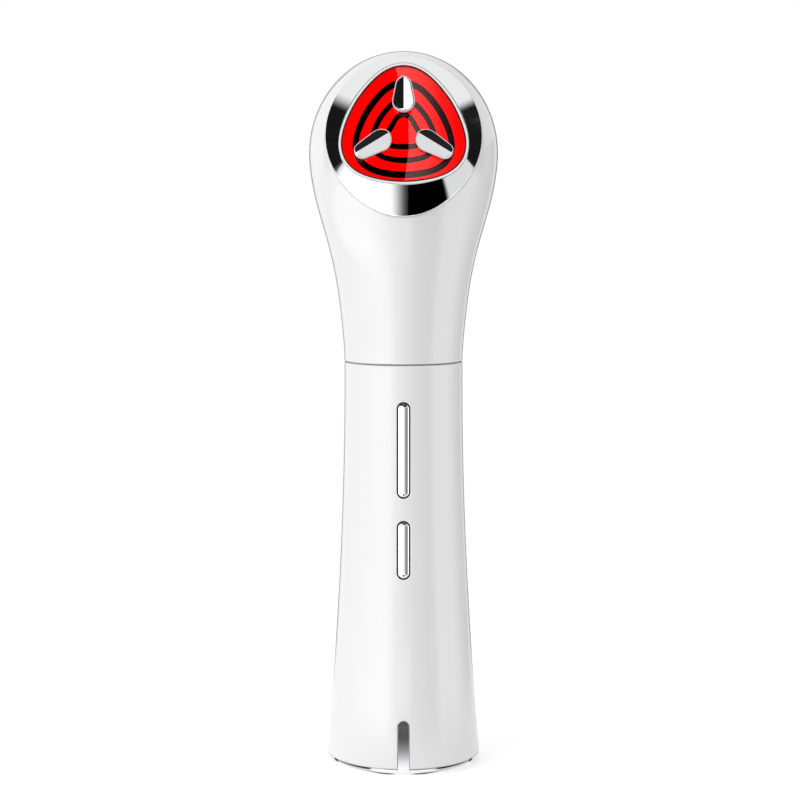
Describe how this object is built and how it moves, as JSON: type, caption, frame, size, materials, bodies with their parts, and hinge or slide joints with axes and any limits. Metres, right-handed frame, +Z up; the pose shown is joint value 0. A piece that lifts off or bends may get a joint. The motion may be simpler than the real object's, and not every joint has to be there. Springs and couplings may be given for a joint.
{
  "type": "facial toning wand",
  "caption": "Upright cordless facial wand with a tilted oval face, red lobed lens, chromed contact bars, two pill-shaped press keys and a flat chromed foot.",
  "frame": {"origin": "centre of the flat underside of the chromed foot, which the wand stands on", "axes": "+Z up along the grip, -Y out of the front with the keys and the lens, +X to the right as seen from the front"},
  "size_m": [0.04, 0.0347, 0.152],
  "materials": {
    "white_shell": "gloss white moulding",
    "chrome_trim": "bright chrome plate",
    "white_rubber": "matt white silicone",
    "red_lens": "clear red polished plastic",
    "red_plate": "satin red diffuser",
    "black_plastic": "satin black",
    "grey_rubber": "matt grey",
    "green_board": "solder mask",
    "bright_steel": "nickel plated",
    "white_frame": "satin moulding",
    "led_resin": "cast resin",
    "cell_sleeve": "shrink sleeve",
    "red_wire": "wire insulation",
    "black_wire": "wire insulation",
    "dark_ferrite": "sintered ferrite",
    "capacitor_sleeve": "shrink sleeve"
  },
  "bodies": {
    "wand_body": {"head_housing": "white_shell", "face_bezel": "chrome_trim", "lens_gasket": "white_rubber", "window_lens": "red_lens", "outer_baffle": "black_plastic", "middle_baffle": "black_plastic", "inner_baffle": "black_plastic", "diffuser_plate": "red_plate", "electrode_top": "chrome_trim", "electrode_left": "chrome_trim", "electrode_right": "chrome_trim", "module_frame": "white_frame", "module_screw_1": "bright_steel", "module_screw_2": "bright_steel", "module_screw_3": "bright_steel", "led_board": "green_board", "red_led_1": "led_resin", "red_led_2": "led_resin", "red_led_3": "led_resin", "red_led_4": "led_resin", "red_led_5": "led_resin", "red_led_6": "led_resin", "head_cable": "black_wire", "neck_seal": "grey_rubber", "handle_housing": "white_shell", "level_switch": "bright_steel", "power_switch": "bright_steel", "main_board": "green_board", "controller_chip": "black_plastic", "pulse_transformer": "dark_ferrite", "storage_capacitor": "capacitor_sleeve", "cable_socket": "white_frame", "board_screw_upper": "bright_steel", "board_screw_lower": "bright_steel", "chassis": "white_frame", "battery": "cell_sleeve", "battery_lead_red": "red_wire", "battery_lead_black": "black_wire", "usb_socket": "bright_steel", "usb_tongue": "black_plastic", "base_plug": "white_frame", "base_screw_left": "bright_steel", "base_screw_right": "bright_steel", "base_cap": "chrome_trim"},
    "level_button": {"level_key": "chrome_trim", "level_switch_stem": "black_plastic"},
    "power_button": {"power_key": "chrome_trim", "power_switch_stem": "black_plastic"}
  },
  "joints": [
    {"name": "level_key_press", "type": "slide", "parent": "wand_body", "child": "level_button", "axis": [0, 1, 0], "range_m": [0, 0.0005], "stiffness_N_per_m": 2000},
    {"name": "power_key_press", "type": "slide", "parent": "wand_body", "child": "power_button", "axis": [0, 1, 0], "range_m": [0, 0.0005], "stiffness_N_per_m": 2000}
  ]
}
